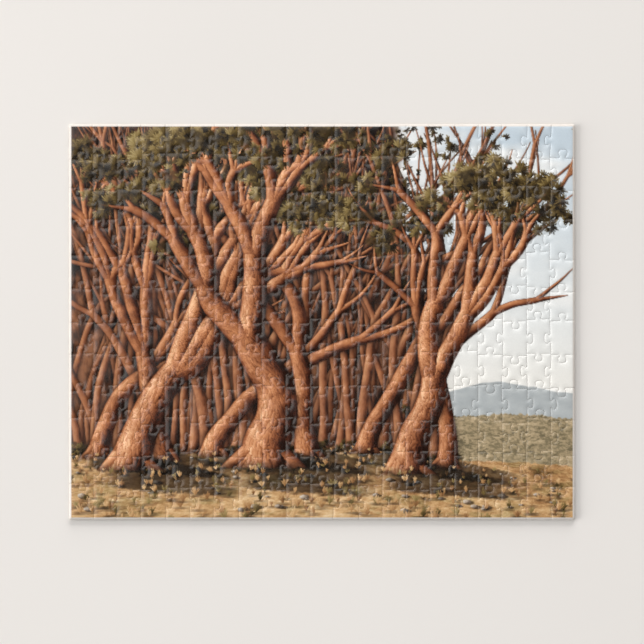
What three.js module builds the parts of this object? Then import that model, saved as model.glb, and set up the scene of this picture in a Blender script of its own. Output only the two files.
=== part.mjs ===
// A finished cardboard jigsaw puzzle of 252 interlocking pieces, lying flat and picture side up.
// The board is die cut by upright cuts that run from edge to edge and by short cross cuts between
// them, whose heights are staggered from one column to the next. Every cut between two pieces
// carries one knob. The pieces are held here in blocks of 3 by 2, each block one solid with the
// knobs and sockets of its own outline. Millimetres, +Z up, +Y towards the top of the picture,
// with the origin under the middle of the board, on the surface that it lies on.
import * as THREE from "three";

// The board
const WIDTH = 355.6;
const HEIGHT = 278;
const THICKNESS = 2;
const CORNER_RADIUS = 1.2;
const CORNER_STEPS = 3;

// The pieces and the blocks that they are held in
const COLUMNS = 21;
const ROWS = 12;
const BLOCK_COLUMNS = 3;
const BLOCK_ROWS = 2;
const KERF = 0.3; // clear gap along every cut between two blocks

// The cuts
const UPRIGHT_WANDER = 0.85; // the furthest an upright cut leans from its even place
const CROSS_WANDER = 3; // the furthest a cross cut is staggered from its even place
const CROSS_SLANT = 0.5; // the furthest either end of a cross cut is raised or lowered
const KNOB_DRIFT = 0.6; // the furthest a knob sits from the middle of its cut

// The knobs: how far they stand out of a cut, and their widths at the head and at the foot
const UPRIGHT_KNOB = { reach: 4.4, head: 7.2, foot: 5.2 };
const CROSS_KNOB = { reach: 5.9, head: 5.8, foot: 4.4 };
const KNOB_SPREAD = 0.08; // the largest share by which a knob is over or under size
const KNOB_LEAN = 0.4; // the furthest a head leans to one side of its foot
const HEAD_DEPTH = 0.42; // half the head's depth, as a share of the reach
const HEAD_SQUARENESS = 0.77; // 1 gives an oval head, and less gives a squarer one
const NECK_ANGLE = 55; // degrees below the head's widest line at which it runs into the neck
const HEAD_STEPS = 5;

const BOARD_COLOUR = "#a8734a";

// What each draw of scatter() is for, and the seed that picks one cut pattern of many
const DRAW = { lean: 1, stagger: 2, slant: 3, side: 4, drift: 5, size: 6, bend: 7, crossBase: 40 };
const SEED = 3593;

// A repeatable value from -1 to 1 for one place in the grid.
function scatter(column, row, draw) {
  const wave = Math.sin(column * 12.9898 + row * 78.233 + draw * 37.719 + SEED) * 43758.5453;
  return 2 * (wave - Math.floor(wave)) - 1;
}

const evenX = (column) => WIDTH * (column / COLUMNS - 0.5);
const evenY = (row) => HEIGHT * (row / ROWS - 0.5);
const rowAt = (y) => ROWS * (y / HEIGHT + 0.5);

// Where an upright cut stands at a height, leaving its knobs out. The first and last are the
// board's own edges, half a kerf further out because each solid is drawn in by that much.
function uprightX(column, y) {
  if (column === 0) return evenX(0) - KERF / 2;
  if (column === COLUMNS) return evenX(COLUMNS) + KERF / 2;
  const row = Math.min(Math.max(Math.floor(rowAt(y)), 0), ROWS - 1);
  const below = scatter(column, row, DRAW.lean);
  const above = scatter(column, row + 1, DRAW.lean);
  const share = rowAt(y) - row;
  return evenX(column) + UPRIGHT_WANDER * (below + (above - below) * share);
}

// The height of either end of a cross cut: side is -1 for its left end and 1 for its right.
function crossY(column, row, side) {
  if (row === 0) return evenY(0) - KERF / 2;
  if (row === ROWS) return evenY(ROWS) + KERF / 2;
  const stagger = CROSS_WANDER * scatter(column, row, DRAW.stagger);
  return evenY(row) + stagger + side * CROSS_SLANT * scatter(column, row, DRAW.slant);
}

// A knob's outline on a cut from one point to another, from foot to foot. base picks its draws.
function knob(from, to, { reach, head, foot }, column, row, base) {
  const along = to.clone().sub(from).normalize();
  const out = new THREE.Vector2(-along.y, along.x);
  const side = scatter(column, row, base + DRAW.side) > 0 ? 1 : -1;
  const scale = 1 + KNOB_SPREAD * scatter(column, row, base + DRAW.size);
  const lean = KNOB_LEAN * scatter(column, row, base + DRAW.bend);
  const drift = KNOB_DRIFT * scatter(column, row, base + DRAW.drift);
  const middle = from.clone().lerp(to, 0.5).addScaledVector(along, drift);
  const at = (x, y) =>
    middle.clone().addScaledVector(along, x * scale).addScaledVector(out, side * y * scale);
  const squared = (value) => Math.sign(value) * Math.abs(value) ** HEAD_SQUARENESS;
  const depth = reach * HEAD_DEPTH;
  const first = THREE.MathUtils.degToRad(180 + NECK_ANGLE);
  const last = THREE.MathUtils.degToRad(-NECK_ANGLE);
  const outline = [at(-foot / 2, 0)];
  for (let step = 0; step <= HEAD_STEPS; step++) {
    const angle = first + ((last - first) * step) / HEAD_STEPS;
    const x = (head / 2) * squared(Math.cos(angle));
    const y = reach - depth + depth * squared(Math.sin(angle));
    outline.push(at(x + (lean * y) / reach, y));
  }
  outline.push(at(foot / 2, 0));
  return outline;
}

// The points of a cross cut from left to right, with both ends.
function crossCut(column, row) {
  const [leftY, rightY] = [crossY(column, row, -1), crossY(column, row, 1)];
  const left = new THREE.Vector2(uprightX(column, leftY), leftY);
  const right = new THREE.Vector2(uprightX(column + 1, rightY), rightY);
  if (row === 0 || row === ROWS) return [left, right];
  return [left, ...knob(left, right, CROSS_KNOB, column, row, DRAW.crossBase), right];
}

// The points of an upright cut strictly between two heights, upwards.
function uprightCut(column, lowY, highY) {
  if (column === 0 || column === COLUMNS) return [];
  const points = [];
  for (let row = 0; row < ROWS; row++) {
    const foot = new THREE.Vector2(uprightX(column, evenY(row)), evenY(row));
    const top = new THREE.Vector2(uprightX(column, evenY(row + 1)), evenY(row + 1));
    if (row > 0 && lowY < foot.y && foot.y < highY) points.push(foot);
    const middle = evenY(row + 0.5);
    if (lowY < middle && middle < highY) points.push(...knob(foot, top, UPRIGHT_KNOB, column, row, 0));
  }
  return points;
}

// A row of cross cuts, and the short stretches of upright cut that join their ends.
function crossEdge(firstColumn, endColumn, row) {
  const points = [];
  for (let column = firstColumn; column < endColumn; column++) {
    points.push(...crossCut(column, row));
    if (column + 1 === endColumn || row === 0 || row === ROWS) continue;
    const [here, next] = [crossY(column, row, 1), crossY(column + 1, row, -1)];
    const joint = uprightCut(column + 1, Math.min(here, next), Math.max(here, next));
    points.push(...(here < next ? joint : joint.reverse()));
  }
  return points;
}

// Replaces the board's own corner by an arc where a block has one.
function roundCorners(points) {
  return points.flatMap((point) => {
    const atCorner = Math.abs(point.x) > WIDTH / 2 && Math.abs(point.y) > HEIGHT / 2;
    if (!atCorner) return [point];
    const outwards = new THREE.Vector2(Math.sign(point.x), Math.sign(point.y));
    const centre = point.clone().addScaledVector(outwards, -CORNER_RADIUS);
    const rim = new THREE.Vector2(CORNER_RADIUS, 0);
    const start = outwards.angle() - Math.PI / 4;
    return Array.from({ length: CORNER_STEPS + 1 }, (_, step) => {
      const angle = start + ((Math.PI / 2) * step) / CORNER_STEPS;
      return rim.clone().rotateAround(new THREE.Vector2(), angle).add(centre);
    });
  });
}

// The outline of a block of pieces, anticlockwise from its lower left corner.
function blockOutline(firstColumn, firstRow) {
  const endColumn = firstColumn + BLOCK_COLUMNS;
  const endRow = firstRow + BLOCK_ROWS;
  const right = uprightCut(
    endColumn,
    crossY(endColumn - 1, firstRow, 1),
    crossY(endColumn - 1, endRow, 1),
  );
  const left = uprightCut(
    firstColumn,
    crossY(firstColumn, firstRow, -1),
    crossY(firstColumn, endRow, -1),
  );
  const points = [
    ...crossEdge(firstColumn, endColumn, firstRow),
    ...right,
    ...crossEdge(firstColumn, endColumn, endRow).reverse(),
    ...left.reverse(),
  ];
  return roundCorners(points.filter((point, i) => point.distanceTo(points.at(i - 1)) > 1e-6));
}

// One block as a solid, drawn in from its outline by half a kerf.
function makeBlock(firstColumn, firstRow) {
  const shape = new THREE.Shape(blockOutline(firstColumn, firstRow));
  const geometry = new THREE.ExtrudeGeometry(shape, {
    depth: THICKNESS,
    steps: 1,
    bevelEnabled: true,
    bevelSegments: 0,
    bevelThickness: 0,
    bevelSize: 0,
    bevelOffset: -KERF / 2,
  });
  const material = new THREE.MeshStandardMaterial({ color: BOARD_COLOUR, roughness: 0.5, metalness: 0 });
  const block = new THREE.Mesh(geometry, material);
  block.name = `block_r${firstRow / BLOCK_ROWS + 1}_c${firstColumn / BLOCK_COLUMNS + 1}`;
  return block;
}

const puzzle = new THREE.Group();
for (let row = 0; row < ROWS; row += BLOCK_ROWS) {
  for (let column = 0; column < COLUMNS; column += BLOCK_COLUMNS) {
    puzzle.add(makeBlock(column, row));
  }
}

export default puzzle;
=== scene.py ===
"""A finished cardboard jigsaw puzzle, lying flat on a pale table, picture side up.

Sizes are in millimetres until a mesh is finished, and in metres from then on.
"""

import math

import bmesh
import bpy
import numpy as np
from mathutils import Matrix, Vector


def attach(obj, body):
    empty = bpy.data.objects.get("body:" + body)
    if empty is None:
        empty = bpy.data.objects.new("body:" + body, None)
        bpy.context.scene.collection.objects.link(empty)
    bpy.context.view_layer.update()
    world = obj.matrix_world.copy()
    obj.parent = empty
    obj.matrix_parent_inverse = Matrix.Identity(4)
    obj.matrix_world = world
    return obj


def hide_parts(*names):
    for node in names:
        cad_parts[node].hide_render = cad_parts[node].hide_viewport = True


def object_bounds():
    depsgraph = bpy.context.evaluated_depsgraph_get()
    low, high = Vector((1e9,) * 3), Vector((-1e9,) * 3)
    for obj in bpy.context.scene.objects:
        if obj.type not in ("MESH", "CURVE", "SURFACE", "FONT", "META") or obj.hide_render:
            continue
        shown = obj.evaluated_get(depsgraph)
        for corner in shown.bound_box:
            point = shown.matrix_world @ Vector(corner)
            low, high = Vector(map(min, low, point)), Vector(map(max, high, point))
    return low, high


MM = 0.001

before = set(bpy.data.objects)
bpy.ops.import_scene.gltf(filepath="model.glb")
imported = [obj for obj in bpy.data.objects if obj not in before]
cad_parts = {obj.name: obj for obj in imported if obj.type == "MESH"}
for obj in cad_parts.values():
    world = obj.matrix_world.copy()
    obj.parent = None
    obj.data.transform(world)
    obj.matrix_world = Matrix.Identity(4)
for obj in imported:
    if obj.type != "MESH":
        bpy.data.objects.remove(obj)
cad_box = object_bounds()

# The board, as the frame has it, and how it is cut up
WIDTH, HEIGHT, THICKNESS = (round((b - a) / MM, 1) for a, b in zip(*cad_box))
COLUMNS, ROWS = 21, 12
BLOCK_COLUMNS, BLOCK_ROWS = 3, 2
CORNER_RADIUS = 1.2
CORNER_STEPS = 6

# The die's cuts, which wander as the CAD model's do
UPRIGHT_WANDER = 0.85
CROSS_WANDER = 3.0
CROSS_SLANT = 0.5
KNOB_DRIFT = 0.6
UPRIGHT_KNOB = {"reach": 4.4, "head": 7.2, "foot": 5.2}
CROSS_KNOB = {"reach": 5.9, "head": 5.8, "foot": 4.4}
KNOB_SPREAD = 0.08
KNOB_LEAN = 0.4
HEAD_DEPTH = 0.42
HEAD_SQUARENESS = 0.77
NECK_ANGLE = 55
HEAD_STEPS = 9
FOOT_STEPS = 3
FOOT_FLARE = 0.45
BEND_CLEARANCE = 0.5  # a bend closer than this to a corner is left out
DRAW = {"lean": 1, "stagger": 2, "slant": 3, "side": 4, "drift": 5, "size": 6, "bend": 7}
SETTLE_DRAW = {"tilt_x": 91, "tilt_y": 92, "sink": 93}
CROSS_DRAWS = 40  # keeps a cross cut's draws apart from an upright cut's
SEED = 3593
SCATTER_WAVES = (12.9898, 78.233, 37.719)  # for the column, the row and the kind of draw
SCATTER_HEIGHT = 43758.5453

# The slit that the die leaves, how it rounds the printed sheet over beside it, how that draws the face
# down a little further in, and how far the board's own edge is rounded down
SLIT = 0.05
ROUND_WIDTH = 0.22
ROUND_ANGLE = math.radians(34)  # how steep the rounding is at the slit
ROUND_RADIUS = ROUND_WIDTH / math.sin(ROUND_ANGLE)
ROUND_DEPTH = ROUND_RADIUS * (1 - math.cos(ROUND_ANGLE))
ROUND_STEPS = 2
PILLOW_REACH = 1.6
PILLOW_ANGLE = math.radians(7.4)  # how steeply the face falls to the cut
PILLOW_DEPTH = PILLOW_REACH * math.tan(PILLOW_ANGLE)
WEAR_AND_HIGHLIGHT_REACH = 0.8  # how far from a cut the print is rubbed and given a painted highlight
EDGE_WIDTH = 1.7
EDGE_DEPTH = 0.28
SHARP_ANGLE = math.radians(40)  # a fold sharper than this is shaded as an edge
GRID = 0.6  # the spacing of the points that the picture is painted on
GRID_SNAP = 1e-4  # a point closer than this to a grid line counts as on it
TILT = math.tan(math.radians(0.16))  # the most that a piece's face leans either way
SINK = 0.05  # the most that a piece lies below its neighbours

# The print and the board
RICHNESS = 1.13  # how strong the ink's colours are
LIFT = 0.04  # how much lighter its middle tones are
BLACK = 0.03  # how much deeper its shadows are
MARGIN = 1.45  # the unprinted edge all round
MARGIN_BLUR = 0.06  # how softly the print ends there, to either side
PAPER_WHITE = (0.73, 0.685, 0.64)
# the colour laid along the cuts: rubbed paper, and also a painted highlight
RUBBED_PAPER_AND_HIGHLIGHT = (0.68, 0.60, 0.52)
VARNISH_IOR = 1.48
BOARD_GREY = (0.36, 0.31, 0.25)
PALE_FIBRE = (0.62, 0.57, 0.48)
DARK_FIBRE = (0.13, 0.10, 0.08)
FIBRE_LAYS = ((0.4, 0.5), (1.5, 0.45), (2.5, 0.4))  # each set's direction, and its size

# The table, and the view from above it
TABLE_HALF = 3.0
TABLE_TINTS = ((0.80, 0.775, 0.75), (0.82, 0.795, 0.77))
TABLE_ROUGHNESS = 0.7
CAMERA_HEIGHT = 5.0
VIEW_WIDTH = 0.45303  # what the camera takes in at the height of the puzzle's face
SENSOR_WIDTH = 36

# The light: two windows, their soft reflections, and the room round them. Each lamp has a name, a place,
# a size, a power and a colour, and then whether it lights a face, and whether a face reflects it.
WINDOW_LIGHT = (1.0, 0.985, 0.965)
GLINT_LIGHT = (1.0, 0.98, 0.96)
ROOM_LIGHT = (1.0, 0.985, 0.97)
LAMPS = (
    ("left_window", (-8.0, -0.6, 1.8), (7.5, 3.2), 1060, WINDOW_LIGHT, True, False),
    ("far_window", (0.6, 8.0, 1.8), (7.5, 3.2), 1060, WINDOW_LIGHT, True, False),
    ("left_glint", (-2.1, 0.15, 9.8), (2.4, 2.4), 47, GLINT_LIGHT, False, True),
    ("far_glint", (-0.15, 2.1, 9.8), (2.4, 2.4), 47, GLINT_LIGHT, False, True),
    ("softbox", (-3.2, 2.9, 3.0), (2.6, 2.6), 43, ROOM_LIGHT, True, True),
    ("ceiling", (0.0, 0.0, 5.6), (4.4, 4.4), 94, ROOM_LIGHT, True, False),
)
ROOM_STRENGTH = 0.1  # how brightly the room lights the puzzle
ROOM_SEEN = 0.85  # how bright the room looks where the camera sees it


# The cuts -------------------------------------------------

def scatter(column, row, draw):
    """A repeatable value from -1 to 1 for one place in the grid."""
    a, b, c = SCATTER_WAVES
    wave = math.sin(column * a + row * b + draw * c + SEED) * SCATTER_HEIGHT
    return 2 * (wave - math.floor(wave)) - 1


def even_x(column):
    """Where an upright cut would stand if it didn't wander."""
    return WIDTH * (column / COLUMNS - 0.5)


def even_y(row):
    """Where a cross cut would lie if it didn't wander."""
    return HEIGHT * (row / ROWS - 0.5)


def upright_x(column, y):
    """Where an upright cut stands at a height, with its knobs left out."""
    if column == 0:
        return even_x(0) - SLIT / 2
    if column == COLUMNS:
        return even_x(COLUMNS) + SLIT / 2
    place = ROWS * (y / HEIGHT + 0.5)
    row = min(max(math.floor(place), 0), ROWS - 1)
    below = scatter(column, row, DRAW["lean"])
    above = scatter(column, row + 1, DRAW["lean"])
    return even_x(column) + UPRIGHT_WANDER * (below + (above - below) * (place - row))


def cross_y(column, row, side):
    """The height of a cross cut's left end, with side -1, or of its right end, with side 1."""
    if row == 0:
        return even_y(0) - SLIT / 2
    if row == ROWS:
        return even_y(ROWS) + SLIT / 2
    stagger = CROSS_WANDER * scatter(column, row, DRAW["stagger"])
    return even_y(row) + stagger + side * CROSS_SLANT * scatter(column, row, DRAW["slant"])


def knob(start, end, shape, column, row, draws):
    """A knob's outline on the cut from start to end, with a rounded foot on either side."""
    along = (end - start).normalized()
    out = Vector((-along.y, along.x))
    side = 1 if scatter(column, row, draws + DRAW["side"]) > 0 else -1
    scale = 1 + KNOB_SPREAD * scatter(column, row, draws + DRAW["size"])
    lean = KNOB_LEAN * scatter(column, row, draws + DRAW["bend"])
    drift = KNOB_DRIFT * scatter(column, row, draws + DRAW["drift"])
    middle = start.lerp(end, 0.5) + along * drift
    reach, head, foot = shape["reach"], shape["head"], shape["foot"]
    depth = reach * HEAD_DEPTH

    def squared(value):
        return math.copysign(abs(value) ** HEAD_SQUARENESS, value)

    def at(x, y):
        return middle + along * (x + lean * y / reach) * scale + out * side * y * scale

    first, last = math.radians(180 + NECK_ANGLE), math.radians(-NECK_ANGLE)
    rounded = []
    for step in range(HEAD_STEPS + 1):
        angle = first + (last - first) * step / HEAD_STEPS
        across = head / 2 * squared(math.cos(angle))
        rounded.append((across, reach + depth * (squared(math.sin(angle)) - 1)))
    neck_x, neck_y = rounded[-1]
    fillet = []
    for step in range(1, FOOT_STEPS + 1):
        t = step / FOOT_STEPS
        x = (1 - t) ** 2 * neck_x + 2 * t * (1 - t) * neck_x + t**2 * (foot / 2 + FOOT_FLARE)
        fillet.append((x, (1 - t) ** 2 * neck_y))
    outline = [(-x, y) for x, y in reversed(fillet)] + rounded + fillet
    return [at(x, y) for x, y in outline]


def cross_cut(column, row):
    """The points of a cross cut from left to right, with both ends."""
    left_y, right_y = cross_y(column, row, -1), cross_y(column, row, 1)
    left = Vector((upright_x(column, left_y), left_y))
    right = Vector((upright_x(column + 1, right_y), right_y))
    if row in (0, ROWS):
        return [left, right]
    return [left, *knob(left, right, CROSS_KNOB, column, row, CROSS_DRAWS), right]


def upright_cut(column, low, high):
    """The points of an upright cut strictly between two heights, upwards."""
    if column in (0, COLUMNS):
        return []
    points = []
    for row in range(ROWS):
        foot = Vector((upright_x(column, even_y(row)), even_y(row)))
        top = Vector((upright_x(column, even_y(row + 1)), even_y(row + 1)))
        if row > 0 and low + BEND_CLEARANCE < foot.y < high - BEND_CLEARANCE:
            points.append(foot)
        if low < even_y(row + 0.5) < high:
            points += knob(foot, top, UPRIGHT_KNOB, column, row, 0)
    return points


def piece_outline(column, row):
    """One piece's outline, anticlockwise from its lower left corner."""
    right = upright_cut(column + 1, cross_y(column, row, 1), cross_y(column, row + 1, 1))
    left = upright_cut(column, cross_y(column, row, -1), cross_y(column, row + 1, -1))
    points = [*cross_cut(column, row), *right]
    points += [*reversed(cross_cut(column, row + 1)), *reversed(left)]
    return round_board_corner(points)


def round_board_corner(points):
    """Replaces the board's own corner by an arc where a piece has one."""
    rounded = []
    for point in points:
        if abs(point.x) > WIDTH / 2 and abs(point.y) > HEIGHT / 2:
            out = Vector((math.copysign(1, point.x), math.copysign(1, point.y)))
            centre = point - out * CORNER_RADIUS
            start = math.atan2(out.y, out.x) - math.pi / 4
            for step in range(CORNER_STEPS + 1):
                angle = start + math.pi / 2 * step / CORNER_STEPS
                rounded.append(centre + CORNER_RADIUS * Vector((math.cos(angle), math.sin(angle))))
        else:
            rounded.append(point)
    return rounded


def make_piece(column, row):
    """A bmesh of one piece, in millimetres: its outline as a face, drawn in, rounded over and walled."""
    bm = bmesh.new()
    outline = piece_outline(column, row)
    corners = [bm.verts.new((p.x, p.y, THICKNESS - ROUND_DEPTH)) for p in outline]
    top = bm.faces.new(corners)
    top.normal_update()
    bmesh.ops.inset_region(bm, faces=[top], thickness=SLIT / 2, use_boundary=True, use_even_offset=True)
    bmesh.ops.delete(bm, geom=[f for f in bm.faces if f != top], context="FACES")
    for step in range(ROUND_STEPS):
        steeper, flatter = (ROUND_ANGLE * (1 - (step + i) / ROUND_STEPS) for i in (0, 1))
        inwards = ROUND_RADIUS * (math.sin(steeper) - math.sin(flatter))
        upwards = ROUND_RADIUS * (math.cos(flatter) - math.cos(steeper))
        bmesh.ops.inset_region(bm, faces=[top], thickness=inwards, use_boundary=True, use_even_offset=True)
        bmesh.ops.translate(bm, verts=top.verts[:], vec=(0, 0, upwards))
    cut_grid(bm)
    # each point's nearness to a cut, which sets where the print is rubbed and given a painted highlight
    wear_and_highlight = bm.verts.layers.float.new("edge")
    for v, inwards in zip(bm.verts, far_from(outline, bm.verts)):
        v[wear_and_highlight] = max(1 - inwards / WEAR_AND_HIGHLIGHT_REACH, 0)
        v.co.z -= PILLOW_DEPTH * math.exp(-inwards / PILLOW_REACH)
        from_edge = min(WIDTH / 2 - abs(v.co.x), HEIGHT / 2 - abs(v.co.y))
        v.co.z -= EDGE_DEPTH * max(1 - from_edge / EDGE_WIDTH, 0) ** 2
    rim = [e for e in bm.edges if e.is_boundary]
    walls = bmesh.ops.extrude_edge_only(bm, edges=rim)
    foot = [v for v in walls["geom"] if isinstance(v, bmesh.types.BMVert)]
    for v in foot:
        v.co.z = 0
    bmesh.ops.edgeloop_fill(bm, edges=[e for e in bm.edges if e.is_boundary])
    bmesh.ops.recalc_face_normals(bm, faces=bm.faces[:])
    return bm


def far_from(outline, verts):
    """How far each vertex lies from a closed outline."""
    at = np.array([v.co.xy for v in verts])
    nearest = np.full(len(at), np.inf)
    for start, end in zip(outline, outline[1:] + outline[:1]):
        way = np.array(end - start)
        offset = at - np.array(start)
        share = np.clip(offset @ way / (way @ way), 0, 1)
        offset -= share[:, None] * way
        nearest = np.minimum(nearest, np.hypot(offset[:, 0], offset[:, 1]))
    return nearest


def cut_grid(bm):
    """Cuts these faces along a square grid, which gives the picture its points."""
    for axis in (0, 1):
        places = [v.co[axis] for v in bm.verts]
        normal = Vector((1 - axis, axis, 0))
        for line in range(math.ceil(min(places) / GRID), math.floor(max(places) / GRID) + 1):
            geom = bm.verts[:] + bm.edges[:] + bm.faces[:]
            at = normal * GRID * line
            bmesh.ops.bisect_plane(bm, geom=geom, dist=GRID_SNAP, plane_co=at, plane_no=normal)


# The picture: an old pine wood in low sun -----------------

SUN = np.array((-0.72, 0.38, 0.58))  # towards it: to the left, up, and out of the picture
SUN = SUN / np.linalg.norm(SUN)

# Colours from dark to light, and the sky's from low to high
BARK = ((30, 14, 8), (76, 41, 25), (126, 78, 52), (170, 113, 79), (206, 148, 111), (238, 193, 155))
FAR_BARK = ((50, 28, 18), (106, 65, 44), (140, 92, 66), (168, 117, 86), (190, 141, 108), (210, 168, 135))
NEEDLES = ((24, 18, 9), (58, 47, 26), (100, 84, 51), (134, 116, 77), (168, 151, 109), (202, 187, 147))
STRAW = ((78, 53, 33), (120, 87, 57), (160, 122, 84), (194, 157, 114), (218, 188, 148), (234, 212, 178))
SKY = ((236, 232, 224), (226, 228, 227), (206, 214, 219), (190, 203, 213))
CLOUD = (240, 240, 238)
HAZE = (214, 212, 206)
RANGE = ((120, 130, 138), (160, 168, 172))
HILLSIDE = ((84, 74, 52), (118, 104, 76), (150, 130, 98), (180, 158, 124))
GLOOM = ((22, 12, 8), (52, 31, 21), (92, 58, 40), (132, 88, 62))
STONE = ((58, 46, 38), (92, 78, 66), (128, 112, 98), (160, 144, 128), (190, 176, 160), (214, 202, 188))


def hashed(i, j, seed):
    """A repeatable value from 0 to 1 for whole numbers i and j."""
    n = (i * 374761393 + j * 668265263 + seed * 2246822519) & 0xFFFFFFFF
    n = ((n ^ (n >> 13)) * 1274126177) & 0xFFFFFFFF
    return ((n ^ (n >> 16)) & 0xFFFF) / 0xFFFF


def noise(x, y, seed):
    """Smooth noise from 0 to 1 with features about one unit across."""
    i, j = np.floor(x).astype(np.int64), np.floor(y).astype(np.int64)
    u, v = x - i, y - j
    u, v = u * u * (3 - 2 * u), v * v * (3 - 2 * v)
    low = hashed(i, j, seed) * (1 - u) + hashed(i + 1, j, seed) * u
    high = hashed(i, j + 1, seed) * (1 - u) + hashed(i + 1, j + 1, seed) * u
    return low * (1 - v) + high * v


def layered(x, y, seed, octaves=4, gain=0.55):
    """Noise from 0 to 1 with ever finer detail, evened out around a half."""
    total, weight, share = 0, 0, 1.0
    for k in range(octaves):
        total = total + share * noise(x * 2**k + 17.3 * k, y * 2**k - 9.1 * k, seed + 101 * k)
        weight += share
        share *= gain
    return total / weight


def plated(x, y, seed):
    """Cells about one unit across: how deep each point lies in its cell, the cell's own value, and how far
    along y the point is from the cell's middle."""
    i, j = np.floor(x).astype(np.int64), np.floor(y).astype(np.int64)
    nearest, second = np.full(x.shape, 9.0), np.full(x.shape, 9.0)
    own, way = np.zeros(x.shape), np.zeros(x.shape)
    for a in (-1, 0, 1):
        for b in (-1, 0, 1):
            dx = x - (i + a + 0.1 + 0.8 * hashed(i + a, j + b, seed))
            dy = y - (j + b + 0.1 + 0.8 * hashed(i + a, j + b, seed + 1))
            away = np.hypot(dx, dy)
            closer = away < nearest
            second = np.where(closer, nearest, np.minimum(second, away))
            own = np.where(closer, hashed(i + a, j + b, seed + 2), own)
            way = np.where(closer, dy, way)
            nearest = np.where(closer, away, nearest)
    return second - nearest, own, way


def smooth(low, high, value):
    """0 below low, 1 above high, and an even curve between."""
    t = np.clip((value - low) / (high - low), 0, 1)
    return t * t * (3 - 2 * t)


def ramp(colours, light):
    """The colour for each light value from 0 to 1."""
    places = np.linspace(0, 1, len(colours))
    return np.stack([np.interp(light, places, [c[k] for c in colours]) for k in range(3)], -1)


class Sheet:
    """The printed sheet: points in order of x, so that a stroke finds the few that it touches."""

    def __init__(self, x, y):
        self.order = np.argsort(x, kind="stable")
        self.x, self.y = x[self.order], y[self.order]
        self.colour = np.zeros((len(x), 3))

    def near(self, low_x, high_x, low_y, high_y):
        """The points inside these limits."""
        start, end = np.searchsorted(self.x, (low_x, high_x))
        rows = self.y[start:end]
        return start + np.nonzero((rows > low_y) & (rows < high_y))[0]

    def lay(self, index, colour, cover):
        """Lays a colour over these points, as thickly as each one's cover says."""
        cover = cover[:, None]
        self.colour[index] = self.colour[index] * (1 - cover) + colour * cover

    def shade(self, index, share):
        """Leaves these points this share of their light."""
        self.colour[index] *= share[:, None]

    def open_air(self, index):
        """From 0 to 1, how far these points still show the pale sky or slopes."""
        return smooth(120, 190, self.colour[index].mean(1))

    def painted(self):
        """The colours in the order in which the points came."""
        result = np.empty_like(self.colour)
        result[self.order] = self.colour
        return result


# Wood -----------------------------------------------------

LIMB_SHRINK = 0.72  # how long a limb is beside the one that bears it
TWIG_TIP = 0.3
FLATTEST = 0.15  # no limb runs closer to level than this


def grow(rng, start, heading, radius, habit, depth=0):
    """One tree from its start upwards: its limbs as segments (x, y, x, y, radius, radius, run, depth),
    where run is how far along the limb a segment begins, and the places of its tips."""
    segments, tips = [], []
    x, y = start
    run, step = 0.0, habit["step"]
    length = habit["length"] * (LIMB_SHRINK ** depth) * rng.uniform(0.75, 1.25)
    steps = max(3, round(length / step))
    bend = rng.normal(0, habit["bend"])
    end_radius = radius * habit["taper"]
    last = depth >= habit["depth"] or end_radius < habit["least"]
    if last:
        end_radius = TWIG_TIP
    for k in range(steps):
        bend = 0.7 * bend + rng.normal(0, habit["bend"])
        heading += bend + habit["upward"] * math.sin(math.pi / 2 - heading) * (depth > 0)
        heading = min(max(heading, FLATTEST), math.pi - FLATTEST)
        r0 = radius + (end_radius - radius) * k / steps
        r1 = radius + (end_radius - radius) * (k + 1) / steps
        nx, ny = x + step * math.cos(heading), y + step * math.sin(heading)
        segments.append((x, y, nx, ny, r0, r1, run, depth))
        x, y, run = nx, ny, run + step
    if last:
        tips.append((x, y))
        return segments, tips
    count = 3 if rng.random() < habit["threes"] else 2
    spread = rng.uniform(*habit["spread"])
    for k in range(count):
        turn = spread * (k / (count - 1) - 0.5) * 2 + rng.normal(0, 0.08)
        child = end_radius * rng.uniform(0.74, 0.92)
        more, ends = grow(rng, (x, y), heading + turn, child, habit, depth + 1)
        segments += more
        tips += ends
    return segments, tips


def flare(segments, radius, rng):
    """Widens a trunk towards its foot, and gives it roots that run out to either side."""
    flared = []
    x, y = segments[0][:2]
    for way in (-1, 1, -1, 1):
        reach = radius * rng.uniform(1.3, 2.2)
        high = radius * rng.uniform(0.7, 1.5)
        start = (x + way * 0.25 * radius, y + high)
        end = (x + way * reach, y - 0.25 * radius)
        flared.append((*start, *end, 0.55 * radius, 0.22 * radius, 0, 0))
    for x0, y0, x1, y1, r0, r1, run, depth in segments:
        if depth == 0:
            end = run + math.hypot(x1 - x0, y1 - y0)
            r0 += radius * 0.35 * math.exp(-run / (1.6 * radius))
            r1 += radius * 0.35 * math.exp(-end / (1.6 * radius))
        flared.append((x0, y0, x1, y1, r0, r1, run, depth))
    return flared


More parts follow.
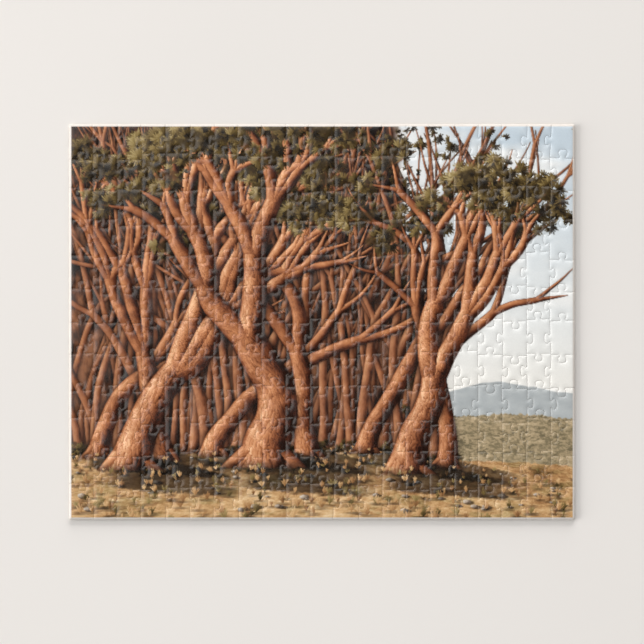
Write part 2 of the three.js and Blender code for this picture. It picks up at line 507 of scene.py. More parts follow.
def lay_out_limbs(x, y, segments, reach):
    """The limb that each point is on or nearest to, for points in order of x: the gap to it, how far
    across and along it the point lies, which way its side faces, its radius, and a number of its own."""
    gap = np.full(len(x), 99.0)
    across = np.zeros(len(x))
    along = np.zeros(len(x))
    side = np.zeros((len(x), 2))
    wide = np.ones(len(x))
    own = np.zeros(len(x))
    for k, (x0, y0, x1, y1, r0, r1, run, depth) in enumerate(segments):
        pad = max(r0, r1) + reach
        a, b = np.searchsorted(x, (min(x0, x1) - pad, max(x0, x1) + pad))
        if a == b:
            continue
        some = a + np.nonzero(np.abs(y[a:b] - (y0 + y1) / 2) < abs(y1 - y0) / 2 + pad)[0]
        dx, dy = x1 - x0, y1 - y0
        size = math.hypot(dx, dy)
        dx, dy = dx / size, dy / size
        px, py = x[some] - x0, y[some] - y0
        t = np.clip(px * dx + py * dy, 0, size)
        radius = r0 + (r1 - r0) * t / size
        ox, oy = px - t * dx, py - t * dy
        away = np.hypot(ox, oy)
        here = away - radius
        closer = here < gap[some]
        at = some[closer]
        gap[at] = here[closer]
        signed = px * -dy + py * dx
        across[at] = (np.sign(signed) * away / radius)[closer]
        along[at] = (run + t)[closer]
        side[at] = (-dy, dx)
        wide[at] = radius[closer]
        own[at] = depth + k * 0.37
    return gap, across, along, side, wide, own


HALO = 6.0  # how far a limb's shade reaches behind it
LIMB_BLUR = 0.35  # how far a limb's soft edge reaches out


def paint_wood(sheet, segments, colours, seed, foot, sun, halo):
    """One tree's wood as rounded limbs with plates of bark, and the shade that it throws behind it."""
    xs = [s[0] for s in segments] + [s[2] for s in segments]
    ys = [s[1] for s in segments] + [s[3] for s in segments]
    widest = max(s[4] for s in segments) + HALO
    found = sheet.near(min(xs) - widest, max(xs) + widest, min(ys) - widest, max(ys) + widest)
    if not len(found):
        return
    x, y = sheet.x[found], sheet.y[found]
    gap, across, along, side, wide, limb = lay_out_limbs(x, y, segments, HALO)

    shaded = np.nonzero(gap < HALO)[0]
    fall = np.exp(-np.clip(gap[shaded], 0, None) / 1.7) * smooth(HALO, 2.5, gap[shaded])
    fall *= smooth(foot - 3, foot + 3, y[shaded])
    open_air = sheet.open_air(found[shaded])
    sheet.shade(found[shaded], 1 - halo * fall * (1 - 0.9 * open_air))

    inside = np.nonzero(gap < LIMB_BLUR)[0]
    found, x, y, r = found[inside], x[inside], y[inside], wide[inside]
    t = np.clip(across[inside], -1, 1)
    rise = np.sqrt(np.clip(1 - t * t, 0, 1))
    s = along[inside] + 31.7 * np.floor(limb[inside])
    around = np.arcsin(t) * r
    knots = layered(x / 9, y / 9, seed + 3, 3)
    warp = layered(s / 9, around / 4, seed + 5, 3) - 0.5
    plate_run = s / (4.0 + 0.7 * r) + 2.4 * warp
    plate_turn = around / (1.0 + 0.12 * r) + 3.4 * warp
    deep, own, turned = plated(plate_run, plate_turn, seed)
    fine = layered(s / 2.6, around / 0.8, seed + 9, 3) - 0.5
    grain = smooth(1.5, 9.0, r)
    tilt = grain * turned * 0.34 + 0.15 * fine
    nx = side[inside, 0] * t + side[inside, 0] * tilt
    ny = side[inside, 1] * t + side[inside, 1] * tilt
    lit = np.clip(nx * SUN[0] + ny * SUN[1] + rise * SUN[2], 0, 1.3)
    light = 0.06 + 0.92 * sun * lit**1.25 + 0.06 * rise
    light += 0.13 * fine + 0.42 * (knots - 0.5) + grain * 0.1 * (own - 0.5)
    light -= 0.15 * grain * smooth(0.22, 0.02, deep) * (0.4 + 0.6 * rise)
    light *= 0.45 + 0.55 * smooth(-0.02, 0.7, rise)
    colour = ramp(colours, np.clip(light, 0, 1))
    colour *= 1 + 0.05 * (knots[:, None] - 0.5) * np.array((1.0, 0.2, -1.2))
    ragged = y + 1.6 * (noise(x / 1.4, y / 1.4, seed + 11) - 0.5)
    colour *= (0.55 + 0.45 * smooth(foot, foot + 7, ragged))[:, None]
    cover = smooth(LIMB_BLUR, -0.25, gap[inside]) * smooth(foot - 0.8, foot + 0.8, ragged)
    sheet.lay(found, colour, cover)


# Needles --------------------------------------------------

NEEDLE = 0.55  # how thick a needle is
BLADE = 0.28  # how thick a blade of grass is


def paint_tuft(sheet, x, y, radius, heading, fan, colours, light, rng, thick=NEEDLE):
    """A spray of needles: fan is the half angle that it fills about its heading."""
    key = int(rng.integers(1 << 20))
    found = sheet.near(x - radius, x + radius, y - radius, y + radius)
    if not len(found):
        return
    dx, dy = sheet.x[found] - x, sheet.y[found] - y
    away = np.hypot(dx, dy)
    turn = np.arctan2(dy, dx) - heading
    turn = (turn + math.pi) % (2 * math.pi) - math.pi
    count = max(7, round(fan / math.pi * radius * 3.0))
    pitch = 2 * fan / count
    slot = np.floor((turn + fan) / pitch)
    own = hashed(slot.astype(np.int64), np.full(len(slot), key), 5)
    other = hashed(slot.astype(np.int64), np.full(len(slot), key), 6)
    middle = (slot + 0.3 + 0.4 * other) * pitch - fan
    length = radius * (0.55 + 0.45 * own) * (1 - 0.25 * (middle / fan) ** 2 * (fan < 2.5))
    off = np.abs(turn - middle) * away
    width = thick * (1 - 0.7 * away / length) + 0.1
    cover = smooth(0.35, -0.15, off - width) * smooth(0.3, -0.3, away - length) * (np.abs(turn) < fan)
    toward = np.cos(middle + heading) * SUN[0] + np.sin(middle + heading) * SUN[1]
    bright = light + 0.22 * toward + 0.22 * (own - 0.5) + 0.20 * (away / length - 0.5)
    sheet.lay(found, ramp(colours, np.clip(bright, 0, 1)), cover)


def paint_mass(sheet, x, y, wide, tall, density, rng, light, size=(4.5, 8.0)):
    """A mass of needle sprays, dark at the back and lit on its sunny side."""
    count = int(density * wide * tall / 14)
    spots = []
    for _ in range(count):
        a, r = rng.uniform(0, 2 * math.pi), math.sqrt(rng.random())
        spots.append((x + wide * r * math.cos(a), y + tall * r * math.sin(a), a, r))
    found = sheet.near(x - wide - 4, x + wide + 4, y - tall - 4, y + tall + 4)
    d = np.hypot((sheet.x[found] - x) / wide, (sheet.y[found] - y) / tall)
    ragged = d + 0.5 * (layered(sheet.x[found] / 5, sheet.y[found] / 5, 71, 3) - 0.5)
    dim = ramp(NEEDLES, 0.1 + 0.12 * noise(sheet.x[found] / 2, sheet.y[found] / 2, 3))
    sheet.lay(found, dim, 0.7 * smooth(0.72, 0.45, ragged) * (1 - sheet.open_air(found)))
    for k, (sx, sy, a, r) in enumerate(spots):
        stage = k / count
        lit = (SUN[0] * math.cos(a) + SUN[1] * math.sin(a)) * r
        level = light[0] + (light[1] - light[0]) * stage * (0.62 + 0.38 * lit)
        heading = a + rng.normal(0, 0.6)
        paint_tuft(sheet, sx, sy, rng.uniform(*size), heading, rng.uniform(1.6, 2.9), NEEDLES, level, rng)


# The view -------------------------------------------------

PICTURE_SEED = 20
LEFT = -178  # where the picture begins
WOOD_SPAN = 262  # how far the wood reaches from there


def paint_sky(sheet):
    x, y = sheet.x, sheet.y
    colour = ramp(SKY, np.clip((y + 70) / 200, 0, 1))
    cloud = layered(x / 70 + 3, y / 26, 11, 5)
    colour += (np.array(CLOUD) - colour) * smooth(0.42, 0.75, cloud)[:, None] * 0.8
    sheet.colour[:] = colour


def paint_ridge(sheet, level, slope, rough, colours, seed, haze, scrub=0.0):
    """A crest of hills with all that lies below it, bare or dotted with scrub."""
    x, y = sheet.x, sheet.y
    crest = level + slope * x + rough * (layered(x / 60, x * 0 + seed, seed, 5) - 0.5) * 2
    crest += 4 * scrub * (noise(x / 1.3, x * 0, seed + 1) - 0.5)
    inside = np.nonzero(y < crest + 1)[0]
    xi, yi = x[inside], y[inside]
    texture = layered(xi / 7, yi / 3.0, seed + 2, 4)
    light = 0.25 + 0.7 * texture
    clump = layered(xi / 2.0, yi / 1.1, seed + 4, 4, 0.65)
    light -= scrub * smooth(0.42, 0.68, clump) * (0.35 + 1.1 * layered(xi / 18, yi / 8, seed + 6, 2))
    light += 0.4 * scrub * smooth(0.46, 0.3, clump)
    colour = ramp(colours, np.clip(light, 0, 1)) * (1 - haze) + np.array(HAZE) * haze
    sheet.lay(inside, colour, smooth(0.5, -0.5, yi - crest[inside]))


def ground_level(x):
    """The height at which the ground ends and the wood begins."""
    return -92 - 0.035 * x + 4 * np.sin(x / 47 + 1.2) + 1.5 * np.sin(x / 19)


def paint_ground(sheet):
    """A slope of sand and dry grass that runs towards the viewer; the stones on it are painted apart."""
    x, y = sheet.x, sheet.y
    top = ground_level(x) + 1.5 * (noise(x / 2.2, x * 0, 41) - 0.5)
    inside = np.nonzero(y < top + 1)[0]
    xi, yi = x[inside], y[inside]
    depth = np.clip(top[inside] - yi, 0, 100) + 8
    size = depth / 22
    grain = layered(xi / (1.6 * size**0.5 + 1), yi / 1.1, 43, 4, 0.7)
    patches = layered(xi / 26, yi / 7, 47, 5, 0.6)
    light = 0.12 + 0.62 * grain + 0.55 * (patches - 0.5) + 0.003 * depth
    colour = ramp(STRAW, np.clip(light, 0, 1))
    green = smooth(0.5, 0.72, layered(xi / 17 + 7, yi / 5, 53, 4))[:, None] * 0.5
    colour = colour * (1 - green) + ramp(NEEDLES, np.clip(light, 0, 1)) * green
    sheet.lay(inside, colour, smooth(0.6, -0.4, yi - top[inside]))


def paint_shadow(sheet, x, y, long, wide, strength):
    """A trunk's shadow on the ground, which runs off to the right and towards the viewer."""
    way = math.atan2(-0.16, 1)
    found = sheet.near(x - wide - 2, x + long + 4, y - 0.3 * long - wide, y + wide + 3)
    dx, dy = sheet.x[found] - x, sheet.y[found] - y
    along = dx * math.cos(way) + dy * math.sin(way)
    off = np.abs(dy * math.cos(way) - dx * math.sin(way))
    width = wide * (1 - 0.55 * np.clip(along / long, 0, 1))
    ragged = 1.2 * (noise(sheet.x[found] / 2, sheet.y[found] / 1.2, 91) - 0.5)
    cover = smooth(1.0, -0.8, off - 0.42 * width + ragged)
    cover *= smooth(-wide * 0.6, 0, along) * smooth(long, 0.6 * long, along)
    level = ground_level(sheet.x[found])
    sheet.shade(found, 1 - strength * cover * smooth(0.5, -0.5, sheet.y[found] - level))


def paint_stones(sheet, rng, count):
    """Rounded stones on the ground, each with its own small shadow."""
    for _ in range(count):
        x = rng.uniform(-176, 176)
        depth = rng.uniform(3, 42)
        y = float(ground_level(x)) - depth
        wide = rng.uniform(0.5, 1.3) * (0.8 + depth / 16)
        tall = wide * rng.uniform(0.4, 0.6)
        found = sheet.near(x - wide - 3, x + wide + 4, y - tall - 3, y + tall + 2)
        dx, dy = (sheet.x[found] - x) / wide, (sheet.y[found] - y) / tall
        away = np.hypot(dx, dy) * (1 + 0.25 * (noise(dx * 2 + x, dy * 2, 95) - 0.5))
        shadow = np.hypot((dx - 0.5) / 1.3, dy + 0.5)
        sheet.shade(found, 1 - 0.55 * smooth(1.1, 0.7, shadow))
        rise = np.sqrt(np.clip(1 - away**2, 0, 1))
        lit = 0.15 + 0.75 * np.clip(dx * SUN[0] + dy * SUN[1] + rise * SUN[2], 0, 1)
        lit += 0.25 * (noise(sheet.x[found], sheet.y[found], 97) - 0.5)
        sheet.lay(found, ramp(STONE, np.clip(lit, 0, 1)), smooth(1.05, 0.85, away))


def paint_grass(sheet, rng, count, low, high):
    """Tufts of dry or green grass, from so far below the ground's upper edge to so far."""
    for _ in range(count):
        x = rng.uniform(-178, 178)
        depth = rng.uniform(low, high)
        y = float(ground_level(x)) - depth
        size = rng.uniform(2.5, 4.5) * (0.7 + depth / 30)
        colours = NEEDLES if rng.random() < 0.35 else STRAW
        found = sheet.near(x - size, x + size, y - 1.2, y + 0.8)
        sheet.shade(found, 1 - 0.3 * smooth(size, 0, np.abs(sheet.x[found] - x)))
        heading = math.pi / 2 + rng.normal(0, 0.15)
        fan, light = rng.uniform(0.4, 0.8), rng.uniform(0.15, 0.5)
        paint_tuft(sheet, x, y, size, heading, fan, colours, light, rng, thick=BLADE)


# How each kind of tree grows: its steps and its trunk's length, how its limbs bend, turn upwards and
# taper, how often they fork and down to what radius, how often into three, and how far apart
FAR_HABIT = {"step": 4.0, "length": 110, "bend": 0.02, "upward": 0.02, "taper": 0.72, "depth": 3,
             "least": 1.1, "threes": 0.2, "spread": (0.2, 0.5)}
MIDDLE_HABIT = {"step": 4.5, "length": 76, "bend": 0.045, "upward": 0.03, "taper": 0.8, "depth": 4,
                "least": 1.9, "threes": 0.25, "spread": (0.3, 0.6)}
NEAR_HABIT = {"step": 5.0, "length": 84, "bend": 0.05, "upward": 0.035, "taper": 0.82, "depth": 5,
              "least": 2.4, "threes": 0.35, "spread": (0.3, 0.6)}

# Two rows of trees, the nearer one last. A tree is where it stands, how thick it is and how far it leans
# to the right. They stand this far down from the wood's edge, every other one lower by the stagger. Their
# shadows have this length and shade, and their tips bear needles from the crown's height upwards.
TREE_ROWS = (
    {"trees": ((-158, 6.5, 0.12), (-112, 8.0, -0.1), (-78, 6.5, 0.1),
               (-10, 7.5, -0.12), (30, 6.5, 0.15), (88, 6.5, -0.05)),
     "habit": MIDDLE_HABIT, "seed": 300, "down": 5, "stagger": 2, "shadow": 60, "shade": 0.5,
     "sun": 0.74, "halo": 0.5, "crown": 50, "wide": (8, 13), "tall": (5, 8), "light": (0.08, 0.55)},
    {"trees": ((-136, 12.0, 0.16), (58, 11.0, 0.22), (-40, 14.5, -0.14)),
     "habit": NEAR_HABIT, "seed": 400, "down": 12, "stagger": 4, "shadow": 90, "shade": 0.55,
     "sun": 0.82, "halo": 0.55, "crown": 70, "wide": (9, 16), "tall": (6, 10), "light": (0.1, 0.7)},
)


def right_of_wood(y):
    """Where the wood ends on the right."""
    return 66 - 0.12 * y


def paint_gloom(sheet):
    """The dim inside of the wood."""
    x, y = sheet.x, sheet.y
    edge = right_of_wood(y) + 16 * (layered(y / 24, y * 0 + 2, 77, 4) - 0.5)
    murk = layered(x / 7.0, y / 20, 83, 5, 0.65)
    sheet.lay(np.arange(len(x)), ramp(GLOOM, smooth(0.25, 0.75, murk)), 0.95 * smooth(5, -5, x - edge))


def paint_far_stems(sheet, rng, count=44):
    """The farthest trees, which stand in the gloom and bear no needles."""
    for k in range(count):
        x = LEFT + WOOD_SPAN * (k + rng.uniform(0.1, 0.9)) / count
        y = float(ground_level(x)) + rng.uniform(0, 3)
        heading = math.pi / 2 + rng.normal(0, 0.1)
        segments, _ = grow(rng, (x, y), heading, rng.uniform(1.8, 3.2), FAR_HABIT)
        paint_wood(sheet, segments, FAR_BARK, 500 + k, y, sun=0.5, halo=0.3)


def paint_wood_edge(sheet, rng, count=34):
    """Dark needles up the right side of the wood."""
    for k in range(count):
        y = -88 + 230 * (k + rng.random()) / count
        x = right_of_wood(y) + rng.uniform(-9, 7)
        wide, tall = rng.uniform(6, 10), rng.uniform(5, 8)
        paint_mass(sheet, x, y, wide, tall, 1.3, rng, light=(0.02, 0.34), size=(3.0, 5.0))


def paint_far_trees(sheet, rng, count=26):
    """Slender trees with roots, in a row behind the two rows of thicker ones."""
    for k in range(count):
        x = LEFT + 2 + WOOD_SPAN * (k + rng.uniform(0.1, 0.9)) / count
        y = float(ground_level(x)) - rng.uniform(0, 3)
        radius = rng.uniform(2.2, 4.4)
        segments, tips = grow(rng, (x, y), math.pi / 2 + rng.normal(0, 0.08), radius, FAR_HABIT)
        paint_wood(sheet, flare(segments, radius, rng), FAR_BARK, 200 + k, y, sun=0.62, halo=0.36)
        for tip_x, tip_y in tips[::2]:
            wide, tall = rng.uniform(5, 9), rng.uniform(4, 6)
            paint_mass(sheet, tip_x, tip_y, wide, tall, 1.6, rng, light=(0.05, 0.4), size=(3.0, 5.5))


def paint_scrub(sheet, rng, count=46):
    """Low bushes at the wood's foot."""
    for _ in range(count):
        x = rng.uniform(LEFT, 96)
        y = float(ground_level(x)) + rng.uniform(-2, 3)
        wide, tall = rng.uniform(4, 8), rng.uniform(2.5, 5)
        paint_mass(sheet, x, y, wide, tall, 1.6, rng, light=(0.05, 0.42), size=(2.5, 4.5))


def paint_tree_row(sheet, rng, row):
    """A row of trees with their shadows, roots and needles."""
    for k, (x, radius, lean) in enumerate(row["trees"]):
        y = float(ground_level(x)) - row["down"] - row["stagger"] * (k % 2)
        paint_shadow(sheet, x, y, row["shadow"], 2.6 * radius, row["shade"])
        segments, tips = grow(rng, (x, y), math.pi / 2 - lean, radius, row["habit"])
        flared = flare(segments, radius, rng)
        paint_wood(sheet, flared, BARK, row["seed"] + k, y, row["sun"], row["halo"])
        for tip_x, tip_y in tips:
            if tip_y > row["crown"]:
                wide, tall = rng.uniform(*row["wide"]), rng.uniform(*row["tall"])
                paint_mass(sheet, tip_x, tip_y, wide, tall, 1.0, rng, row["light"])


def paint_picture(x, y):
    """The colours, from 0 to 255, of the picture at these points."""
    sheet = Sheet(x, y)
    rng = np.random.default_rng(PICTURE_SEED)
    paint_sky(sheet)
    paint_ridge(sheet, -50, 0.03, 9, RANGE, 61, 0.35)
    paint_ridge(sheet, -66, -0.02, 7, HILLSIDE, 67, 0.15, scrub=0.45)
    paint_gloom(sheet)
    paint_far_stems(sheet, rng)
    paint_wood_edge(sheet, rng)
    paint_ground(sheet)
    paint_far_trees(sheet, rng)
    paint_scrub(sheet, rng)
    middle, near = TREE_ROWS
    paint_tree_row(sheet, rng, middle)
    paint_stones(sheet, rng, 60)
    paint_grass(sheet, rng, 120, 1, 18)
    paint_tree_row(sheet, rng, near)
    paint_grass(sheet, rng, 260, 12, 50)
    return sheet.painted()


# The pieces -----------------------------------------------

def settle(bm, column, row):
    """Leans a piece's face a little, as each does in its neighbours' grip, while its back stays flat."""
    lean_x = TILT * scatter(column, row, SETTLE_DRAW["tilt_x"])
    lean_y = TILT * scatter(column, row, SETTLE_DRAW["tilt_y"])
    sink = SINK * (0.5 + 0.5 * scatter(column, row, SETTLE_DRAW["sink"]))
    face = [v for v in bm.verts if v.co.z > THICKNESS / 2]
    highest = max(lean_x * v.co.x + lean_y * v.co.y for v in face)
    for v in face:
        v.co.z += lean_x * v.co.x + lean_y * v.co.y - highest - sink


def make_block(block_column, block_row):
    """One block's mesh, still in millimetres, of pieces that lie side by side with a slit between them."""
    block = bmesh.new()
    for row in range(block_row * BLOCK_ROWS, (block_row + 1) * BLOCK_ROWS):
        for column in range(block_column * BLOCK_COLUMNS, (block_column + 1) * BLOCK_COLUMNS):
            bm = make_piece(column, row)
            settle(bm, column, row)
            mesh = bpy.data.meshes.new("piece")
            bm.to_mesh(mesh)
            bm.free()
            block.from_mesh(mesh)
            bpy.data.meshes.remove(mesh)
    mesh = bpy.data.meshes.new("block")
    block.to_mesh(mesh)
    block.free()
    return mesh


def ink(painted):
    """A picture's colours, from 0 to 1, as the press lays them, and then made linear for the renderer."""
    grey = painted.mean(1)[:, None]
    painted = np.clip(grey + RICHNESS * (painted - grey), BLACK, 1)
    painted = (painted - BLACK) / (1 - BLACK)
    painted += LIFT * np.sin(math.pi * painted)
    return np.where(painted < 0.04045, painted / 12.92, ((painted + 0.055) / 1.055) ** 2.4)


def print_picture(meshes):
    """Paints the picture on all the blocks at once, as colours held at their points. The board, which has
    no picture, is left an even grey."""
    places = []
    for mesh in meshes:
        co = np.empty(len(mesh.vertices) * 3)
        mesh.vertices.foreach_get("co", co)
        places.append(co.reshape(-1, 3))
    every = np.concatenate(places)
    face = every[:, 2] > THICKNESS / 2
    colour = np.full((len(every), 4), 1.0)
    colour[:, :3] = 0.5
    colour[face, :3] = ink(np.clip(paint_picture(every[face, 0], every[face, 1]) / 255, 0, 1))
    start = 0
    for mesh, place in zip(meshes, places):
        picture = mesh.attributes.new("picture", "FLOAT_COLOR", "POINT")
        picture.data.foreach_set("color", colour[start:start + len(place)].ravel())
        start += len(place)


# Materials ------------------------------------------------

def solid(colour, strength=1.0):
    """A colour with full cover, as the nodes want it."""
    return (*(strength * c for c in colour), 1)


class Finish:
    """A material's nodes, added one at a time."""

    def __init__(self, name):
        self.material = bpy.data.materials.new(name)
        self.material.use_nodes = True
        self.nodes = self.material.node_tree.nodes
        self.links = self.material.node_tree.links
        self.shader = self.nodes["Principled BSDF"]

    def node(self, kind, **settings):
        node = self.nodes.new(kind)
        for name, value in settings.items():
            setattr(node, name, value)
        return node

    def feed(self, socket, value):
        """Gives a socket another node's output, or a plain value."""
        if isinstance(value, bpy.types.NodeSocket):
            self.links.new(value, socket)
        else:
            socket.default_value = value

    def math(self, operation, a, b=0.0):
        node = self.node("ShaderNodeMath", operation=operation)
        self.feed(node.inputs[0], a)
        self.feed(node.inputs[1], b)
        return node.outputs[0]

    def mix(self, share, a, b, blend="MIX"):
        """Two colours blended, with this share of the second."""
        node = self.node("ShaderNodeMix", data_type="RGBA", blend_type=blend)
        self.feed(node.inputs["Factor"], share)
        self.feed(node.inputs[6], a)
        self.feed(node.inputs[7], b)
        return node.outputs[2]

    def spread(self, value, low, high, to_low=0.0, to_high=1.0):
        """A value's range from low to high, laid smoothly over another range and kept inside it."""
        node = self.node("ShaderNodeMapRange", interpolation_type="SMOOTHSTEP")
        for socket, amount in zip(node.inputs, (value, low, high, to_low, to_high)):
            self.feed(socket, amount)
        return node.outputs[0]

    def noise(self, place, size, detail=2.0, roughness=0.5, distortion=0.0):
        """Noise with features about this many millimetres across."""
        node = self.node("ShaderNodeTexNoise")
        self.feed(node.inputs["Vector"], place)
        self.feed(node.inputs["Scale"], 1 / (size * MM))
        self.feed(node.inputs["Detail"], detail)
        self.feed(node.inputs["Roughness"], roughness)
        self.feed(node.inputs["Distortion"], distortion)
        return node.outputs["Fac"]

    def place(self, stretch=(1, 1, 1), turn=0.0):
        """The place in the object, scaled along each axis and turned about the upright one."""
        mapping = self.node("ShaderNodeMapping")
        self.feed(mapping.inputs["Vector"], self.node("ShaderNodeTexCoord").outputs["Object"])
        mapping.inputs["Scale"].default_value = stretch
        mapping.inputs["Rotation"].default_value = (0, 0, turn)
        return mapping.outputs[0]

    def raise_by(self, height, depth, under=None):
        """Bump of this many millimetres from a height of 0 to 1."""
        bump = self.node("ShaderNodeBump")
        self.feed(bump.inputs["Height"], height)
        self.feed(bump.inputs["Distance"], depth * MM)
        if under is not None:
            self.feed(bump.inputs["Normal"], under)
        return bump.outputs[0]


def printed_sheet():
    """The picture under a satin varnish, on white paper that shows at the edge, with a lighter line along
    each cut that is partly rubbed paper and partly a painted highlight.
    """
    finish = Finish("printed_sheet")
    place = finish.place()
    picture = finish.node("ShaderNodeAttribute", attribute_name="picture").outputs["Color"]
    edge = finish.node("ShaderNodeAttribute", attribute_name="edge").outputs["Fac"]
    ink_grain = finish.spread(finish.noise(place, 0.35, 2, 0.6), 0.3, 0.7, 0.955, 1.045)
    picture = finish.mix(1.0, picture, ink_grain, "MULTIPLY")

    axes = finish.node("ShaderNodeSeparateXYZ")
    finish.feed(axes.inputs[0], place)
    from_side = finish.math("SUBTRACT", WIDTH / 2 * MM, finish.math("ABSOLUTE", axes.outputs["X"]))
    from_end = finish.math("SUBTRACT", HEIGHT / 2 * MM, finish.math("ABSOLUTE", axes.outputs["Y"]))
    inwards = finish.math("MINIMUM", from_side, from_end)
    printed = finish.spread(inwards, (MARGIN - MARGIN_BLUR) * MM, (MARGIN + MARGIN_BLUR) * MM)
    fibres = finish.spread(finish.noise(place, 0.5, 3), 0.35, 0.65)
    paper = finish.mix(fibres, solid(PAPER_WHITE), solid(PAPER_WHITE, 0.95))

    # a lighter line along each cut: partly rubbed paper, partly a painted highlight like the light that
    # cut edges catch; it also roughens the varnish there
    rubbed_and_highlight = finish.spread(finish.noise(place, 1.6, 4, 0.7), 0.35, 0.7, 0.02, 0.2)
    rubbed_and_highlight = finish.math("MULTIPLY", rubbed_and_highlight, finish.spread(edge, 0.4, 1.0))
    face = finish.mix(rubbed_and_highlight, picture, solid(RUBBED_PAPER_AND_HIGHLIGHT))
    finish.feed(finish.shader.inputs["Base Color"], finish.mix(printed, paper, face))

    smears = finish.spread(finish.noise(place, 26, 4, 0.6, 0.4), 0.35, 0.7, 0.14, 0.175)
    grain = finish.spread(finish.noise(place, 0.25, 2), 0.3, 0.7, -0.02, 0.03)
    gloss = finish.math("ADD", smears, grain)
    gloss = finish.math("ADD", gloss, finish.math("MULTIPLY", rubbed_and_highlight, 0.3))
    finish.feed(finish.shader.inputs["Roughness"], finish.spread(printed, 0, 1, 0.6, gloss))

    skin = finish.raise_by(finish.noise(place, 0.22, 2), 0.004)
    waves = finish.raise_by(finish.noise(place, 6.0, 2), 0.03, skin)
    finish.feed(finish.shader.inputs["Normal"], waves)
    finish.shader.inputs["IOR"].default_value = VARNISH_IOR
    return finish.material


def pressed_board():
    """The grey board under the print, in layers at its cut sides, with flecks of fibre all over."""
    finish = Finish("pressed_board")
    place = finish.place()
    layers = finish.noise(finish.place((0.12, 0.12, 1)), 0.16, 2, 0.5)
    mottle = finish.noise(place, 4.0, 5, 0.65)
    dark, pale = solid(BOARD_GREY, 0.72), solid(BOARD_GREY, 1.2)
    ground = finish.mix(finish.spread(mottle, 0.3, 0.7), dark, pale)
    dark_layers = finish.spread(layers, 0.35, 0.65, 0.0, 0.55)
    ground = finish.mix(dark_layers, ground, solid(BOARD_GREY, 0.6))
    for turn, size in FIBRE_LAYS:
        fibres = finish.noise(finish.place((1, 0.14, 1), turn), size, 1, 0.5, 0.6)
        ground = finish.mix(finish.spread(fibres, 0.70, 0.76, 0.0, 0.6), ground, solid(PALE_FIBRE))
        ground = finish.mix(finish.spread(fibres, 0.30, 0.25, 0.0, 0.6), ground, solid(DARK_FIBRE))
    finish.feed(finish.shader.inputs["Base Color"], ground)
    finish.feed(finish.shader.inputs["Roughness"], finish.spread(mottle, 0.3, 0.7, 0.82, 0.94))
    fuzz = finish.raise_by(finish.noise(place, 0.3, 3, 0.6), 0.02)
    plies = finish.raise_by(layers, 0.04, fuzz)
    finish.feed(finish.shader.inputs["Normal"], plies)
    return finish.material


def table_top():
    """A pale matt top, whose tint drifts a little from place to place."""
    finish = Finish("table_top")
    drift = finish.spread(finish.noise(finish.place(), 420, 2), 0.3, 0.7)
    tint = finish.mix(drift, solid(TABLE_TINTS[0]), solid(TABLE_TINTS[1]))
    finish.feed(finish.shader.inputs["Base Color"], tint)
    finish.shader.inputs["Roughness"].default_value = TABLE_ROUGHNESS
    return finish.material


# Making ---------------------------------------------------

def finish_block(mesh, name, materials):
    """Gives a block's mesh its materials, scales it to metres and puts it in the scene. A face that
    reaches below the middle of the board is bare board, and any other is print."""
    mesh.name = name
    for material in materials:
        mesh.materials.append(material)
    co = np.empty(len(mesh.vertices) * 3)
    mesh.vertices.foreach_get("co", co)
    low = co[2::3] <= THICKNESS / 2
    kinds = [1 if any(low[i] for i in face.vertices) else 0 for face in mesh.polygons]
    mesh.polygons.foreach_set("material_index", kinds)
    mesh.polygons.foreach_set("use_smooth", [True] * len(kinds))
    mesh.transform(Matrix.Scale(MM, 4))
    mesh.set_sharp_from_angle(angle=SHARP_ANGLE)
    obj = bpy.data.objects.new(name, mesh)
    bpy.context.scene.collection.objects.link(obj)
    return obj


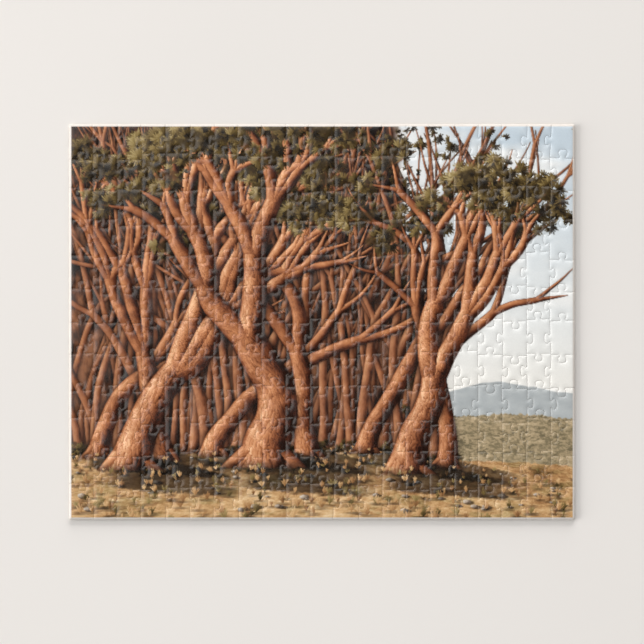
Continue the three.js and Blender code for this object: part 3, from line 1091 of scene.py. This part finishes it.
def add_lamp(name, at, size, power, colour, lights, shows):
    """A flat lamp that faces the puzzle."""
    lamp = bpy.data.lights.new(name, "AREA")
    lamp.shape = "RECTANGLE"
    lamp.size, lamp.size_y = size
    lamp.energy = power
    lamp.color = colour
    obj = bpy.data.objects.new(name, lamp)
    bpy.context.scene.collection.objects.link(obj)
    facing = Vector(at).to_track_quat("Z", "Y").to_matrix().to_4x4()
    obj.matrix_world = Matrix.Translation(at) @ facing
    obj.visible_diffuse = lights
    obj.visible_glossy = shows


def add_table():
    """The pale table that the puzzle lies on."""
    bm = bmesh.new()
    bmesh.ops.create_grid(bm, x_segments=1, y_segments=1, size=TABLE_HALF)
    mesh = bpy.data.meshes.new("table_top")
    bm.to_mesh(mesh)
    bm.free()
    mesh.materials.append(table_top())
    table = bpy.data.objects.new("table_top", mesh)
    bpy.context.scene.collection.objects.link(table)
    return table


def add_camera():
    """A camera straight above the puzzle."""
    data = bpy.data.cameras.new("camera")
    data.sensor_width = SENSOR_WIDTH
    data.lens = SENSOR_WIDTH * (CAMERA_HEIGHT - THICKNESS * MM) / VIEW_WIDTH
    camera = bpy.data.objects.new("camera", data)
    camera.location = (0, 0, CAMERA_HEIGHT)
    bpy.context.scene.collection.objects.link(camera)
    return camera


def make_room():
    """A dim even light, which looks brighter where the camera sees it."""
    world = bpy.data.worlds.new("room")
    world.use_nodes = True
    nodes, links = world.node_tree.nodes, world.node_tree.links
    walls = nodes["Background"]
    walls.inputs["Color"].default_value = solid(ROOM_LIGHT)
    strength = nodes.new("ShaderNodeMapRange")
    strength.inputs["To Min"].default_value = ROOM_STRENGTH
    strength.inputs["To Max"].default_value = ROOM_SEEN
    links.new(nodes.new("ShaderNodeLightPath").outputs["Is Camera Ray"], strength.inputs["Value"])
    links.new(strength.outputs["Result"], walls.inputs["Strength"])
    return world


meshes = {}
for block_row in range(ROWS // BLOCK_ROWS):
    for block_column in range(COLUMNS // BLOCK_COLUMNS):
        meshes[f"r{block_row + 1}_c{block_column + 1}"] = make_block(block_column, block_row)
print_picture(list(meshes.values()))

finishes = (printed_sheet(), pressed_board())
for place, mesh in meshes.items():
    pieces = finish_block(mesh, f"pieces_{place}", finishes)
    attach(pieces, "root")
    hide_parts(f"block_{place}")

table = add_table()

scene = bpy.context.scene
scene.camera = add_camera()
for lamp in LAMPS:
    add_lamp(*lamp)
scene.world = make_room()
scene.view_settings.view_transform = "Standard"
